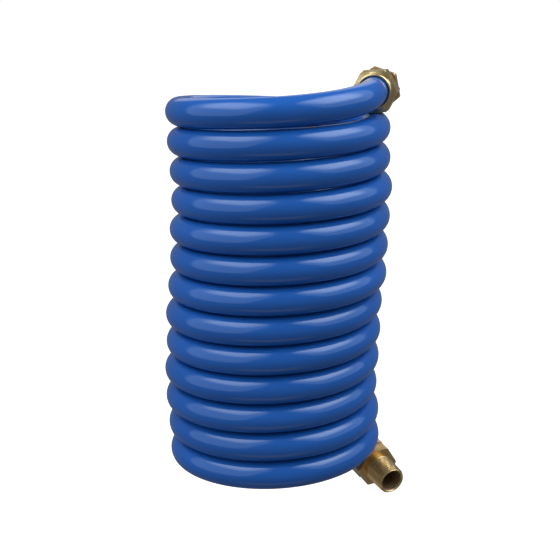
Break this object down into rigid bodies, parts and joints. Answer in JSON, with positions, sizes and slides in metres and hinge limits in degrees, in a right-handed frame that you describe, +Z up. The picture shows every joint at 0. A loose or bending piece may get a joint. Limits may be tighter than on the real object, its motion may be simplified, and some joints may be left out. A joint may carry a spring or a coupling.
{
  "type": "coiled air hose",
  "caption": "Self-recoiling nylon air hose in a close-wound vertical coil, with a rigid brass inlet fitting and a swivelling brass outlet fitting, each with a male pipe thread.",
  "frame": {"origin": "on the axis of the inlet's male thread, at the shoulder where the thread meets its hexagon", "axes": "+Y along the inlet thread, out of its mouth; +Z up along the coil; +X away from the coil's axis"},
  "size_m": [0.1364, 0.1229, 0.244],
  "materials": {
    "hose": "gloss",
    "brass": "satin",
    "seal": "matte",
    "washer": "matte",
    "spring_steel": "satin"
  },
  "bodies": {
    "upper_end": {"inlet_body": "brass", "inlet_nut": "brass", "inlet_ferrule": "brass", "hose_upper_end": "hose"},
    "turn_01": {"hose_turn_01": "hose"},
    "turn_02": {"hose_turn_02": "hose"},
    "turn_03": {"hose_turn_03": "hose"},
    "turn_04": {"hose_turn_04": "hose"},
    "turn_05": {"hose_turn_05": "hose"},
    "turn_06": {"hose_turn_06": "hose"},
    "turn_07": {"hose_turn_07": "hose"},
    "turn_08": {"hose_turn_08": "hose"},
    "turn_09": {"hose_turn_09": "hose"},
    "turn_10": {"hose_turn_10": "hose"},
    "turn_11": {"hose_turn_11": "hose"},
    "turn_12": {"hose_turn_12": "hose"},
    "lower_end": {"hose_quarter_turn": "hose", "hose_lower_end": "hose", "outlet_nut": "brass", "outlet_ferrule": "brass", "outlet_stem": "brass", "swivel_o_ring": "seal"},
    "swivel": {"swivel_body": "brass", "swivel_thrust_washer": "washer", "swivel_snap_ring": "spring_steel"}
  },
  "joints": [
    {"name": "coil_extension", "type": "slide", "parent": "upper_end", "child": "lower_end", "axis": [0, 0, -1], "range_m": [0, 1], "stiffness_N_per_m": 8, "springref_m": -0.6},
    {"name": "turn_01_slide", "type": "slide", "parent": "upper_end", "child": "turn_01", "axis": [0, 0, -1], "range_m": [0, 0.07742]},
    {"name": "turn_02_slide", "type": "slide", "parent": "upper_end", "child": "turn_02", "axis": [0, 0, -1], "range_m": [0, 0.15435]},
    {"name": "turn_03_slide", "type": "slide", "parent": "upper_end", "child": "turn_03", "axis": [0, 0, -1], "range_m": [0, 0.23127]},
    {"name": "turn_04_slide", "type": "slide", "parent": "upper_end", "child": "turn_04", "axis": [0, 0, -1], "range_m": [0, 0.30819]},
    {"name": "turn_05_slide", "type": "slide", "parent": "upper_end", "child": "turn_05", "axis": [0, 0, -1], "range_m": [0, 0.38511]},
    {"name": "turn_06_slide", "type": "slide", "parent": "upper_end", "child": "turn_06", "axis": [0, 0, -1], "range_m": [0, 0.46204]},
    {"name": "turn_07_slide", "type": "slide", "parent": "upper_end", "child": "turn_07", "axis": [0, 0, -1], "range_m": [0, 0.53896]},
    {"name": "turn_08_slide", "type": "slide", "parent": "upper_end", "child": "turn_08", "axis": [0, 0, -1], "range_m": [0, 0.61589]},
    {"name": "turn_09_slide", "type": "slide", "parent": "upper_end", "child": "turn_09", "axis": [0, 0, -1], "range_m": [0, 0.69281]},
    {"name": "turn_10_slide", "type": "slide", "parent": "upper_end", "child": "turn_10", "axis": [0, 0, -1], "range_m": [0, 0.76973]},
    {"name": "turn_11_slide", "type": "slide", "parent": "upper_end", "child": "turn_11", "axis": [0, 0, -1], "range_m": [0, 0.84665]},
    {"name": "turn_12_slide", "type": "slide", "parent": "upper_end", "child": "turn_12", "axis": [0, 0, -1], "range_m": [0, 0.92358]},
    {"name": "swivel_spin", "type": "hinge", "parent": "lower_end", "child": "swivel", "pos_m": [0.00619, -0.01516, -0.22008], "axis": [0.6059, -0.7809, -0.152], "continuous": true}
  ],
  "couplings": [
    {"joint": "turn_01_slide", "follows": "coil_extension", "ratio": 0.076923},
    {"joint": "turn_02_slide", "follows": "coil_extension", "ratio": 0.15385},
    {"joint": "turn_03_slide", "follows": "coil_extension", "ratio": 0.23077},
    {"joint": "turn_04_slide", "follows": "coil_extension", "ratio": 0.30769},
    {"joint": "turn_05_slide", "follows": "coil_extension", "ratio": 0.38461},
    {"joint": "turn_06_slide", "follows": "coil_extension", "ratio": 0.46154},
    {"joint": "turn_07_slide", "follows": "coil_extension", "ratio": 0.53846},
    {"joint": "turn_08_slide", "follows": "coil_extension", "ratio": 0.61538},
    {"joint": "turn_09_slide", "follows": "coil_extension", "ratio": 0.69231},
    {"joint": "turn_10_slide", "follows": "coil_extension", "ratio": 0.76923},
    {"joint": "turn_11_slide", "follows": "coil_extension", "ratio": 0.84615},
    {"joint": "turn_12_slide", "follows": "coil_extension", "ratio": 0.92308}
  ]
}
